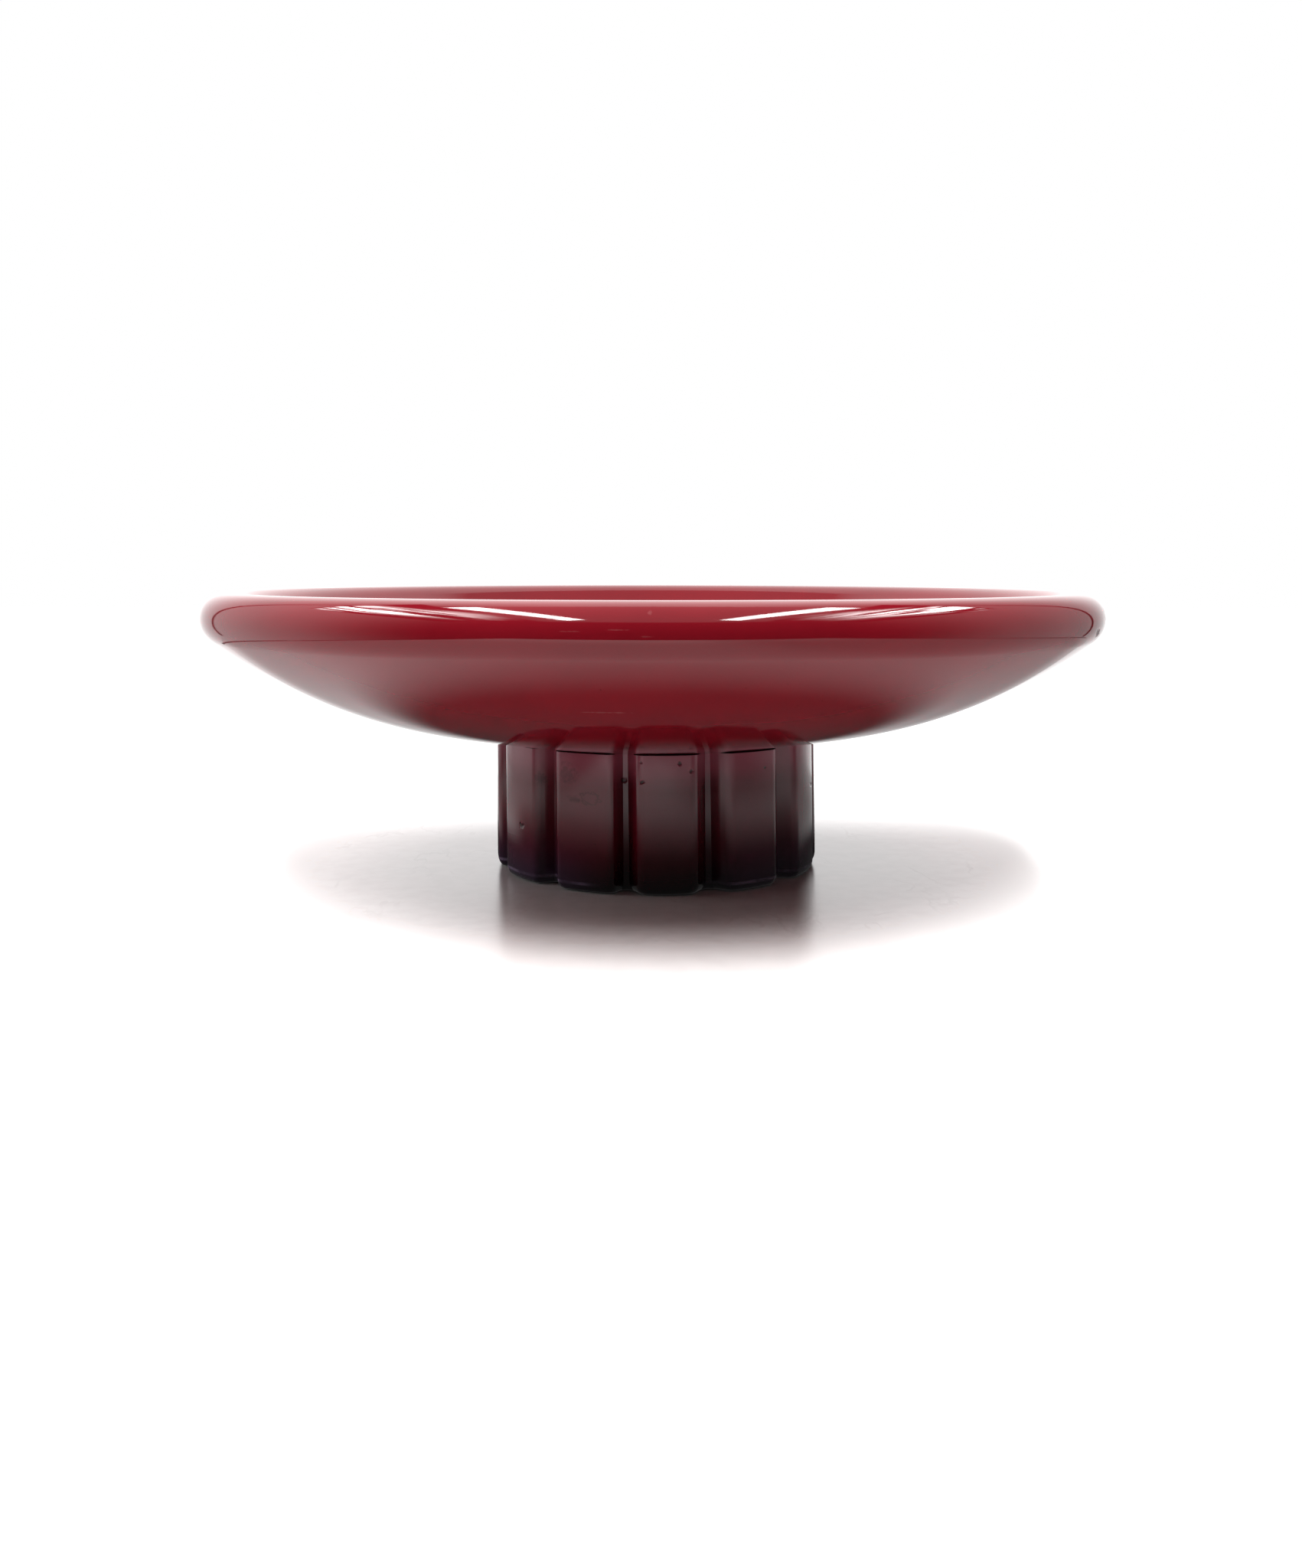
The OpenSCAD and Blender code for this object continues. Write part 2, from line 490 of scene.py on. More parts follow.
@dataclass(frozen=True)
class PaintedShading:
    """Painted shade and light on the ribs: shade low down and in the grooves, light near the top and a
    highlight along the toe. Spans of places run from where a layer begins to where it is full.
    """

    # Painted shade: the ribs darken towards the toe, near black in front and violet at the sides.
    toe_shade: Span = (24.0 * MM, 0.0)
    toe_shade_share: float = 0.96
    toe_shade_aside: Span = (12.0 * MM, 34.0 * MM)
    shade_black: Colour = (0.004, 0.003, 0.004)
    violet_side_shade: Colour = (0.045, 0.026, 0.058)
    # Painted shade in the grooves between the front ribs.
    groove: Span = (54.0 * MM, 51.5 * MM)
    groove_shade_share: float = 0.32
    groove_shade_aside: Span = (31.0 * MM, 25.0 * MM)
    # Painted light: the ribs turn pinker towards the top.
    top_light: Span = (33.0 * MM, 44.0 * MM)
    top_light_share: float = 0.8
    top_light_pink: Colour = (0.38, 0.075, 0.115)
    # Painted highlight: a pale lilac band along the rounded toe.
    toe_highlight_low: Span = (2.3 * MM, 2.9 * MM)
    toe_highlight_high: Span = (3.9 * MM, 3.2 * MM)
    toe_highlight_aside: Span = (14.0 * MM, 30.0 * MM)
    toe_highlight_share: Span = (0.15, 0.8)
    toe_highlight_lilac: Colour = (0.34, 0.24, 0.38)

    def over(self, bench: Nodes, colour: Socket) -> Socket:
        """Paints shade and light into a colour.

        Args:
            bench: The material.
            colour: The clean colour.

        Returns:
            The colour with painted shade low down and in the grooves, painted light near the top and a
            painted highlight along the toe.
        """
        height = bench.axis(Axis.Z)
        aside = bench.math("ABSOLUTE", bench.axis(Axis.X))
        # Painted shade towards the toe, near black in front and violet at the sides.
        toe_shade = bench.mix(bench.ramp(aside, *self.toe_shade_aside), self.shade_black, self.violet_side_shade)
        colour = bench.mix(bench.ramp(height, *self.toe_shade, end=self.toe_shade_share), colour, toe_shade)
        # Painted shade in the grooves between the front ribs.
        groove_shade = bench.ramp(bench.from_axis(), *self.groove, end=self.groove_shade_share)
        groove_shade = bench.product(groove_shade, bench.ramp(aside, *self.groove_shade_aside))
        colour = bench.mix(groove_shade, colour, self.shade_black)
        # Painted light: pinker towards the top of the ribs.
        colour = bench.mix(bench.ramp(height, *self.top_light, end=self.top_light_share), colour, self.top_light_pink)
        # Painted highlight: a pale lilac band along the rounded toe, in patches.
        line = bench.product(bench.ramp(height, *self.toe_highlight_low), bench.ramp(height, *self.toe_highlight_high))
        patchy = bench.ramp(bench.noise(scale=80.0), 0.4, 0.6, *self.toe_highlight_share)
        patchy_mask = bench.product(line, bench.ramp(aside, *self.toe_highlight_aside), patchy)
        return bench.mix(patchy_mask, colour, self.toe_highlight_lilac)


@dataclass(frozen=True)
class Lacquer:
    """Deep red gloss lacquer with faint clouds, hairlines, dust and a few marks, and where given, painted
    shade and light.
    """

    name: str
    red: Colour
    shade: Colour
    gloss: float
    haze: float
    hairlines: float
    marks: tuple[Mark, ...] = ()
    # Painted shade and light laid over the colour, if any.
    painted_shading: PaintedShading | None = None
    ior: float = 1.5
    speck_share: float = 0.2
    scratch: Colour = (0.5, 0.2, 0.2)
    mark_roughness: float = 0.4
    pit_depth: float = 60.0
    relief: float = 0.004 * MM

    @property
    def speck(self) -> Colour:
        """The colour of dust and of dark marks."""
        return tuple(self.speck_share * c for c in self.shade)

    def paint(self, bench: Nodes) -> Socket:
        """Mixes the lacquer's colour without its marks.

        Args:
            bench: The material.

        Returns:
            The colour, with clouds, scattered dust and, where there is any, painted shade and light.
        """
        clouds = bench.ramp(bench.noise(scale=22.0, detail=4.0), 0.35, 0.7)
        colour = bench.mix(clouds, self.red, self.shade)
        dust = bench.ramp(bench.dots(scale=420.0), 0.07, 0.03)
        rare = bench.ramp(bench.noise(scale=160.0, detail=1.0), 0.62, 0.66)
        colour = bench.mix(bench.product(dust, rare), colour, self.speck)
        return self.painted_shading.over(bench, colour) if self.painted_shading else colour

    def material(self) -> bpy.types.Material:
        """Builds the finish.

        Returns:
            The new material.
        """
        bench = Bench(self.name)
        bench.constant(IOR=self.ior)
        colour = self.paint(bench)
        wiped = bench.noise(scale=34.0, detail=5.0, stretch=(1.0, 1.0, 0.6))
        film = bench.ramp(wiped, 0.42, 0.72, start=self.gloss, end=self.haze)
        hairs = bench.ramp(bench.noise(scale=260.0, detail=2.0, stretch=(0.12, 0.12, 3.0)), 0.66, 0.72)
        orange_peel = bench.noise(scale=240.0, detail=1.0)
        relief = bench.math("ADD", orange_peel, bench.product(hairs, self.hairlines))
        for mark in self.marks:
            share = mark.share(bench)
            tone = self.scratch if mark.kind is Blemish.SCRATCH else self.speck
            colour = bench.mix(share, colour, tone)
            film = bench.blend(share, film, self.mark_roughness)
            if mark.kind is Blemish.SPECK:
                relief = bench.math("SUBTRACT", relief, bench.product(share, self.pit_depth * mark.size))
        bench.feed("Base Color", colour)
        bench.feed("Roughness", film)
        bench.bump(relief, self.relief)
        return bench.material


@dataclass
class RolledDish:
    """The bowl: a sloping skirt, a round belly, a rolled lip and a flat floor inside."""

    lip: float = 8.5 * MM
    slope: float = math.radians(10.0)
    seat: float = 53.1 * MM
    seat_height: float = 45.2 * MM
    skirt: float = 27.0 * MM
    floor: float = 54.0 * MM
    floor_height: float = 52.2 * MM
    spigot: float = 32.0 * MM
    insert_bore: float = 3.55 * MM
    insert_length: float = 8.0 * MM
    facets: int = 288
    spigot_rows: int = 4
    seat_rows: int = 3
    skirt_rows: int = 6
    belly_rows: int = 40
    lip_rows: int = 56
    inner_rows: int = 44
    floor_rows: int = 8

    def section(self, bm: bmesh.types.BMesh, radius: float, low: float, top: float) -> None:
        """Draws half of the dish's section, from the spigot round the lip to the middle of the floor.

        Args:
            bm: The mesh to draw in.
            radius: Half of the width over the lip.
            low: The height of the spigot's lower face.
            top: The height of the lip's crest.
        """
        lip = Vector((radius - self.lip, 0, top - self.lip))
        turn = Vector((self.seat + self.skirt, 0, self.seat_height + self.skirt * math.tan(self.slope)))
        upward = Vector((-math.sin(self.slope), 0, math.cos(self.slope)))
        to_turn = turn - lip
        belly_radius = (self.lip**2 - to_turn.length_squared) / (2 * (to_turn.dot(upward) + self.lip))
        belly = turn + belly_radius * upward
        join = math.atan2(lip.z - belly.z, lip.x - belly.x)
        drop = lip.z - self.floor_height
        reach = lip.x - self.floor
        inner_radius = (reach**2 + drop**2 - self.lip**2) / (2 * (self.lip + drop))
        inner = Vector((self.floor, 0, self.floor_height + inner_radius))
        leave = math.atan2(inner.z - lip.z, inner.x - lip.x)
        pen = Pen(bm, Vector((0, 0, low)), Plane.SECTION)
        pen.line(Vector((self.spigot, 0, low)), self.spigot_rows)
        pen.line(Vector((self.spigot, 0, self.seat_height)))
        pen.line(Vector((self.seat, 0, self.seat_height)), self.seat_rows)
        pen.line(turn, self.skirt_rows)
        pen.arc(belly, join + math.pi / 2 - self.slope, self.belly_rows)
        pen.arc(lip, leave - join, self.lip_rows)
        pen.arc(inner, math.pi / 2 - leave, self.inner_rows)
        pen.line(Vector((0, 0, self.floor_height)), self.floor_rows)

    def build(self, holes: Sequence[Vector]) -> bpy.types.Object:
        """Turns the section about the axis and drills it for the inserts.

        Args:
            holes: The plan positions of the inserts.

        Returns:
            The dish.
        """
        low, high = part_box("dish")
        bm = bmesh.new()
        self.section(bm, high.x, low.z, high.z)
        lathe(bm, self.facets)
        dish = finish_mesh(bm, "rolled_dish", CREASE)
        drill(dish, self.insert_bore, low.z - MM, low.z + self.insert_length, holes)
        return dish


@dataclass
class FlutedFoot:
    """The foot: a ring of bulging ribs with flat-floored grooves, a rounded toe and a slight lean.

    The strays are in degrees, a quarter of a rib apart: right_strays runs from the front to the right, and
    left_strays comes back to the front from the left.
    """

    ribs: int = 12
    turn: float = math.radians(3.4)
    crown: float = 56.3 * MM
    face: float = 50.0 * MM
    lean: float = math.radians(1.1)
    shoulder: float = 4.2 * MM
    toe: float = 3.6 * MM
    toe_reach: float = 1.8 * MM
    groove: float = 50.7 * MM
    groove_floor: float = 2.1 * MM
    groove_splay: float = math.radians(49.0)
    off_axis_top: float = 1.1 * MM
    off_axis_toe: float = 1.6 * MM
    right_strays: tuple[float, ...] = (-0.6, 0.1, 0.8, 0.7, 0.7, 2.0, 3.2, 1.8, 2.3, 2.4, 1.6, 0.8)
    left_strays: tuple[float, ...] = (0.7, 0.2, -0.4, -0.2, 1.2, 2.5, 0.9, 0.3, 1.6, 3.0, 0.3, -0.2)
    recess: float = 32.3 * MM
    recess_depth: float = 6.3 * MM
    pad_recess: float = 46.3 * MM
    pad_depth: float = 1.5 * MM
    web_height: float = 28.9 * MM
    well: float = 6.5 * MM
    shank_hole: float = 2.75 * MM
    heart: float = 46.0 * MM
    floor_steps: int = 2
    wall_steps: int = 3
    round_steps: int = 14
    layers: int = 8
    toe_layers: int = 8
    crease: float = math.radians(40.0)
    end_tolerance: float = 1e-4

    def plan(self, bm: bmesh.types.BMesh) -> None:
        """Draws one rib's plan, crown along +Y, from the middle of one groove to the middle of the next.

        Args:
            bm: The mesh to draw in.
        """
        half = math.pi / self.ribs
        centre = Vector((0, self.crown - self.face, 0))
        along = Vector((math.sin(half), math.cos(half), 0))
        aside = Vector((math.cos(half), -math.sin(half), 0))
        wall_foot = self.groove * along - self.groove_floor / 2 * aside
        wall_angle = math.pi / 2 - half - self.groove_splay
        outward = polar(1.0, wall_angle)
        inset = self.face - self.shoulder
        reach = outward.dot(wall_foot) - self.shoulder - centre.y * math.sin(wall_angle)
        blend = math.asin(reach / inset) - wall_angle
        edge = centre + inset * Vector((math.sin(blend), math.cos(blend), 0))
        over = Vector((-1, 1, 1))
        pen = Pen(bm, self.groove * along, Plane.PLAN)
        pen.line(wall_foot, self.floor_steps)
        pen.line(edge + self.shoulder * outward, self.wall_steps)
        pen.arc(edge, math.pi / 2 - blend - wall_angle, self.round_steps)
        pen.arc(centre, 2 * blend, self.round_steps)
        pen.arc(edge * over, math.pi / 2 - blend - wall_angle, self.round_steps)
        pen.line(wall_foot * over, self.wall_steps)
        pen.line(self.groove * along * over, self.floor_steps)

    def step(self, bm: bmesh.types.BMesh, edges: Edges, rise: float, shift: float, shrink: float) -> Edges:
        """Carries the rib's outline to another level.

        Args:
            bm: The mesh.
            edges: The outline's edges.
            rise: How far up the new level is.
            shift: How far towards the axis the outline moves.
            shrink: How far every side of it moves towards the rib's heart.

        Returns:
            The edges of the new outline.
        """
        made = bmesh.ops.extrude_edge_only(bm, edges=edges)["geom"]
        verts = [v for v in made if isinstance(v, bmesh.types.BMVert)]
        half = math.pi / self.ribs
        ends = [v for v in verts if abs(abs(math.atan2(v.co.x, v.co.y)) - half) < self.end_tolerance]
        inner = [v for v in verts if v not in ends]
        bmesh.ops.translate(bm, verts=verts, vec=(0, 0, rise))
        bmesh.ops.translate(bm, verts=inner, vec=(0, -shift, 0))
        heart = Matrix.Translation((0, -self.heart, 0))
        share = 1 - shrink / (self.crown - self.heart)
        bmesh.ops.scale(bm, verts=inner, vec=(share, share, 1), space=heart)
        for vert in ends:
            outward = Vector((vert.co.x, vert.co.y, 0)).normalized()
            bmesh.ops.translate(bm, verts=[vert], vec=-(shift + shrink) * outward)
        return [e for e in made if isinstance(e, bmesh.types.BMEdge)]

    def gather(self, bm: bmesh.types.BMesh, edges: Edges, radius: float, rise: float) -> Edges:
        """Carries an outline to a plain circle about the axis.

        Args:
            bm: The mesh.
            edges: The outline's edges.
            radius: The radius of the circle.
            rise: How far up the circle is.

        Returns:
            The edges of the circle.
        """
        made = bmesh.ops.extrude_edge_only(bm, edges=edges)["geom"]
        for vert in made:
            if isinstance(vert, bmesh.types.BMVert):
                flat = Vector((vert.co.x, vert.co.y, 0)).normalized() * radius
                bmesh.ops.translate(bm, verts=[vert], vec=flat - vert.co + Vector((0, 0, vert.co.z + rise)))
        return [e for e in made if isinstance(e, bmesh.types.BMEdge)]

    def stray(self, ring: Sequence[bmesh.types.BMVert]) -> None:
        """Turns crowns, shoulders and grooves a little from their even places, as they are in the photograph.

        Args:
            ring: The vertices of the ribs.
        """
        pitch = math.pi / (2 * self.ribs)
        hidden = 4 * self.ribs - len(self.right_strays) - len(self.left_strays)
        strays = self.right_strays + hidden * (0.0,) + self.left_strays
        for vert in ring:
            place = (math.atan2(vert.co.x, -vert.co.y) - self.turn) / pitch
            before = math.floor(place)
            part = (1 - math.cos(math.pi * (place - before))) / 2
            first, second = (strays[k % len(strays)] for k in (before, before + 1))
            angle = math.radians(first + part * (second - first))
            vert.co.rotate(Matrix.Rotation(angle, 3, "Z"))

    def build(self, holes: Sequence[Vector]) -> bpy.types.Object:
        """Raises one rib from its plan, repeats it round the axis and drills the foot for the screws.

        Args:
            holes: The plan positions of the screws.

        Returns:
            The foot.
        """
        low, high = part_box("fluted_foot")
        height = high.z - low.z
        bm = bmesh.new()
        self.plan(bm)
        start = bm.edges[:]
        bmesh.ops.translate(bm, verts=bm.verts[:], vec=(0, 0, low.z + self.toe))
        rim = start
        stride = (height - self.toe) / self.layers
        for _ in range(self.layers):
            rim = self.step(bm, rim, stride, stride * math.tan(self.lean), 0.0)
        rim = self.gather(bm, rim, self.recess, 0.0)
        rim = self.gather(bm, rim, self.recess, -self.recess_depth)
        self.gather(bm, rim, 0.0, 0.0)
        sole = start
        for i in range(self.toe_layers):
            before, after = (math.pi / 2 * k / self.toe_layers for k in (i, i + 1))
            fall = self.toe * (math.sin(after) - math.sin(before))
            sink = self.toe_reach * (math.cos(before) - math.cos(after))
            sole = self.step(bm, sole, -fall, 0.0, sink)
        sole = self.gather(bm, sole, self.pad_recess, 0.0)
        sole = self.gather(bm, sole, self.pad_recess, self.pad_depth)
        self.gather(bm, sole, 0.0, 0.0)
        bmesh.ops.spin(
            bm,
            geom=bm.verts[:] + bm.edges[:] + bm.faces[:],
            cent=(0, 0, 0),
            axis=(0, 0, 1),
            angle=2 * math.pi * (self.ribs - 1) / self.ribs,
            steps=self.ribs - 1,
            use_duplicate=True,
        )
        bmesh.ops.rotate(bm, verts=bm.verts[:], cent=(0, 0, 0), matrix=Matrix.Rotation(self.turn, 3, "Z"))
        ring = [v for v in bm.verts if v.co.xy.length > self.pad_recess + MM / 2]
        self.stray(ring)
        drift = Matrix.Identity(4)
        drift[0][2] = (self.off_axis_top - self.off_axis_toe) / height
        drift[0][3] = self.off_axis_toe
        bmesh.ops.transform(bm, matrix=drift, verts=ring)
        foot = finish_mesh(bm, "ribbed_foot", self.crease)
        drill(foot, self.well, low.z + MM / 2, self.web_height, holes)
        drill(foot, self.shank_hole, self.web_height - MM, high.z, holes)
        foot.modifiers.new("even_normals", "WEIGHTED_NORMAL").keep_sharp = True
        return foot


@dataclass
class FeltPad:
    """The pad under the foot: a disc of pressed felt with a soft edge."""

    edge: float = 0.5 * MM
    rings: int = 22
    edge_steps: int = 4
    side_steps: int = 2
    facets: int = 144
    crease: float = math.radians(60.0)

    def build(self) -> bpy.types.Object:
        """Makes the pad where its solid is.

        Returns:
            The pad.
        """
        low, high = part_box("base_pad")
        bm = bmesh.new()
        pen = Pen(bm, Vector((0, 0, high.z)), Plane.SECTION)
        radius = high.x
        pen.line(Vector((radius - self.edge, 0, high.z)), self.rings)
        pen.arc(Vector((radius - self.edge, 0, high.z - self.edge)), -math.pi / 2, self.edge_steps)
        pen.line(Vector((radius, 0, low.z + self.edge)), self.side_steps)
        pen.arc(Vector((radius - self.edge, 0, low.z + self.edge)), -math.pi / 2, self.edge_steps)
        pen.line(Vector((0, 0, low.z)), self.rings)
        lathe(bm, self.facets)
        return finish_mesh(bm, "felt_pad", self.crease)


@dataclass(frozen=True)
class Felt:
    """Pressed felt: dark fibres in a tangle, with no gloss."""

    name: str = "pressed_felt"
    dark: Colour = (0.018, 0.017, 0.018)
    light: Colour = (0.06, 0.056, 0.058)
    pile_depth: float = 0.35 * MM

    def material(self) -> bpy.types.Material:
        """Builds the finish.

        Returns:
            The new material.
        """
        bench = Bench(self.name)
        bench.constant(Roughness=0.95, Sheen_Weight=0.4, Sheen_Roughness=0.5)
        fibres = bench.noise(scale=1400.0, detail=4.0, stretch=(1.0, 0.35, 1.0))
        tangle = bench.noise(scale=1100.0, detail=4.0, stretch=(0.35, 1.0, 1.0))
        pile = bench.product(fibres, tangle)
        bench.feed("Base Color", bench.mix(bench.ramp(pile, 0.12, 0.42), self.dark, self.light))
        bench.bump(pile, self.pile_depth)
        return bench.material


@dataclass(frozen=True)
class Metal:
    """Turned metal: fine rings left by the tool, with a little tarnish."""

    name: str
    bright: Colour
    dull: Colour
    rough: float
    roughest: float = 1.7
    tool_depth: float = 0.02 * MM

    def material(self) -> bpy.types.Material:
        """Builds the finish.

        Returns:
            The new material.
        """
        bench = Bench(self.name)
        bench.constant(Metallic=1.0)
        tarnish = bench.ramp(bench.noise(scale=300.0, detail=4.0), 0.4, 0.75)
        bench.feed("Base Color", bench.mix(tarnish, self.bright, self.dull))
        patchy_mask = bench.noise(scale=900.0, detail=3.0)
        bench.feed("Roughness", bench.ramp(patchy_mask, 0.3, 0.7, self.rough, self.roughest * self.rough))
        rings = bench.noise(scale=2600.0, detail=1.0, stretch=(0.05, 0.05, 1.0))
        bench.bump(rings, self.tool_depth)
        return bench.material


@dataclass
class Camera:
    """The camera, where the photograph was taken from."""

    focus_pixels: float = 1800.0
    image_width: float = 1701.0
    sensor: float = 36.0
    eye: Triple = (-0.00052, -0.4824, 0.1037)
    pitch: float = math.radians(8.97)
    roll: float = math.radians(-0.05)
    nearest: float = 0.01

    def build(self) -> None:
        """Sets the scene's camera."""
        data = bpy.data.cameras.new("camera")
        data.sensor_fit = "HORIZONTAL"
        data.sensor_width = self.sensor
        data.lens = self.sensor * self.focus_pixels / self.image_width
        data.clip_start = self.nearest
        camera = bpy.data.objects.new("camera", data)
        camera.location = self.eye
        camera.rotation_euler = (math.pi / 2 - self.pitch, self.roll, 0)
        bpy.context.scene.collection.objects.link(camera)
        bpy.context.scene.camera = camera


@dataclass
class Lamps:
    """Two bars over the table, which the lacquer mirrors, a soft lamp above and one to the left."""

    bar_aside: float = 0.182
    bar_middle: float = -0.222
    bar_height: float = BAR_HEIGHT
    bar_toe_in: float = math.radians(8.5)
    bar_size: Span = (0.042, 0.45)
    bar_watts: float = 1.5
    soft_size: Span = (0.8, 0.8)
    top_height: float = 0.95
    top_watts: float = 3.0
    window_aside: float = -0.9
    window_watts: float = 4.0

    @staticmethod
    def hang(name: str, place: Vector, size: Span, watts: float, mirrored: bool, yaw: float = 0.0) -> None:
        """Hangs one rectangular lamp that faces the table and that the camera doesn't see.

        Args:
            name: The lamp's name.
            place: Where it hangs.
            size: Its width along X and its length along Y.
            watts: Its power.
            mirrored: Whether the lacquer mirrors it.
            yaw: How far it turns in plan.
        """
        data = bpy.data.lights.new(name, "AREA")
        data.shape = "RECTANGLE"
        data.size, data.size_y = size
        data.energy = watts
        lamp = bpy.data.objects.new(name, data)
        lamp.location = place
        lamp.rotation_euler = (0, math.atan2(place.x, place.z), yaw)
        lamp.visible_camera = False
        lamp.visible_glossy = mirrored
        bpy.context.scene.collection.objects.link(lamp)

    def build(self) -> None:
        """Hangs the four lamps."""
        for side in (-1, 1):
            over = Vector((side * self.bar_aside, self.bar_middle, self.bar_height))
            self.hang(f"bar_{side}", over, self.bar_size, self.bar_watts, True, -side * self.bar_toe_in)
        above = Vector((0, 0, self.top_height))
        self.hang("soft_top", above, self.soft_size, self.top_watts, False)
        left = Vector((self.window_aside, 0, self.bar_height))
        self.hang("window", left, self.soft_size, self.window_watts, False)


@dataclass
class Room:
    """The world: white to the camera, and in mirrors a pale ceiling over side walls and a dark front."""

    across: Span = (-0.5, 0.5)
    across_glow: Span = (1.05, 0.66)
    front: Span = (-0.65, 0.15)
    back: Span = (0.35, 0.8)
    back_share: float = 0.75
    ceiling_edge: Span = (0.68, 0.73)
    ceiling: float = 0.64
    sky_edge: Span = (0.35, 0.9)
    sky: float = 0.5

    def build(self) -> None:
        """Sets the scene's world."""
        world = bpy.data.worlds.new("room")
        world.use_nodes = True
        nodes = Nodes(world.node_tree, "Generated")
        across = nodes.ramp(nodes.axis(Axis.X), *self.across, *self.across_glow)
        front = nodes.ramp(nodes.axis(Axis.Y), *self.front)
        back = nodes.ramp(nodes.axis(Axis.Y), *self.back, start=1.0, end=self.back_share)
        walls = nodes.product(back, nodes.product(front, across))
        mirrored = nodes.blend(nodes.ramp(nodes.axis(Axis.Z), *self.ceiling_edge), walls, self.ceiling)
        lit = nodes.ramp(nodes.axis(Axis.Z), *self.sky_edge, end=self.sky)
        lit = nodes.blend(nodes.ray(Ray.GLOSSY), lit, mirrored)
        glow = nodes.add("ShaderNodeBackground")
        nodes.put(glow.inputs["Strength"], nodes.blend(nodes.ray(Ray.CAMERA), lit, 1.0))
        nodes.put(glow.inputs["Color"], WHITE)
        nodes.put(nodes.add("ShaderNodeOutputWorld").inputs["Surface"], glow.outputs["Background"])
        bpy.context.scene.world = world


class StageCraft:
    """What the makers of stage objects share: props, flat sheets and a glow that mirrors alone see."""

    @staticmethod
    def prop(bm: bmesh.types.BMesh, name: str) -> bpy.types.Object:
        """Makes a stage object of a mesh.

        Args:
            bm: The mesh, which is freed.
            name: The object's name.

        Returns:
            The object.
        """
        mesh = bpy.data.meshes.new(name)
        bm.to_mesh(mesh)
        bm.free()
        prop = bpy.data.objects.new(name, mesh)
        bpy.context.scene.collection.objects.link(prop)
        return prop

    def sheet(self, name: str, span: Vector, middle: Vector, tilt: float = 0.0) -> bpy.types.Object:
        """Makes a flat stage sheet.

        Args:
            name: Its name.
            span: Its width and its length.
            middle: The place of its middle.
            tilt: How far it turns up about X.

        Returns:
            The sheet.
        """
        bm = bmesh.new()
        bmesh.ops.create_grid(bm, x_segments=1, y_segments=1, size=0.5)
        bmesh.ops.scale(bm, verts=bm.verts[:], vec=(span.x, span.y, 1))
        bmesh.ops.rotate(bm, verts=bm.verts[:], cent=(0, 0, 0), matrix=Matrix.Rotation(tilt, 3, "X"))
        bmesh.ops.translate(bm, verts=bm.verts[:], vec=middle)
        return self.prop(bm, name)

    @staticmethod
    def glow(prop: bpy.types.Object) -> Bench:
        """Makes a stage object shine, in mirrors alone.

        Args:
            prop: The object.

        Returns:
            Its material, to be fed with a strength.
        """
        bench = Bench(prop.name)
        bench.constant(Base_Color=BLACK, Specular_IOR_Level=0.0, Emission_Color=WHITE)
        bench.material.cycles.emission_sampling = "NONE"
        prop.data.materials.append(bench.material)
        prop.visible_camera = False
        prop.visible_diffuse = False
        prop.visible_shadow = False
        return bench


@dataclass
class TableTop(StageCraft):
    """The white table top, which fades into the white behind it and which mirrors don't see."""

    span: float = 6.0
    white: Colour = (1.66, 1.65, 1.63)
    grey: Colour = (1.5, 1.48, 1.46)
    fibre_width: float = 0.03
    mottle: float = 0.5
    shade: Span = (0.135, 0.075)
    shade_share: float = 0.61
    fade_back: Span = (0.03, 0.17)
    fade_round: Span = (0.28, 0.42)
    bounce: Colour = (0.66, 0.66, 0.66)
    dim_bounce: Colour = (0.08, 0.08, 0.08)
    dim_edge: Span = (0.16, 0.07)
    roughness: float = 0.24
    ior: float = 1.65

    def build(self) -> None:
        """Lays the table top."""
        table = self.sheet("table", Vector((self.span, self.span)), Vector((0, 0, 0)))
        table.visible_glossy = False
        bench = Bench("white_table")
        grain = bench.noise(scale=48.0, detail=6.0, stretch=(1.0, 0.45, 1.0))
        wander = bench.math("ABSOLUTE", bench.math("SUBTRACT", grain, 0.5))
        sparse = bench.ramp(bench.noise(scale=30.0), 0.45, 0.65)
        fibres = bench.product(bench.ramp(wander, self.fibre_width, 0.0), sparse)
        mottle = bench.ramp(bench.noise(scale=150.0, detail=5.0), 0.35, 0.7, end=self.mottle)
        white = bench.mix(bench.math("MAXIMUM", fibres, mottle), self.white, self.grey)
        from_axis = bench.from_axis()
        white = bench.mix(bench.ramp(from_axis, *self.shade, end=self.shade_share), white, BLACK)
        behind = bench.ramp(bench.axis(Axis.Y), *self.fade_back)
        far = bench.math("MAXIMUM", behind, bench.ramp(from_axis, *self.fade_round))
        white = bench.mix(far, white, BLACK)
        seen = bench.ray(Ray.CAMERA)
        bounce = bench.mix(bench.ramp(from_axis, *self.dim_edge), self.bounce, self.dim_bounce)
        bench.feed("Base Color", bench.mix(seen, bounce, white))
        bench.constant(Roughness=self.roughness, IOR=self.ior, Emission_Color=WHITE)
        bench.feed("Emission Strength", bench.product(seen, far))
        bench.material.cycles.emission_sampling = "NONE"
        table.data.materials.append(bench.material)


@dataclass(frozen=True)
class Gradient:
    """A brightness that changes along one axis, from 1 at the first place to a share at the last."""

    axis: Axis
    first: float
    last: float
    share: float

    def on(self, bench: Nodes) -> Socket:
        """The brightness in that material."""
        return bench.ramp(bench.axis(self.axis), self.first, self.last, start=1.0, end=self.share)


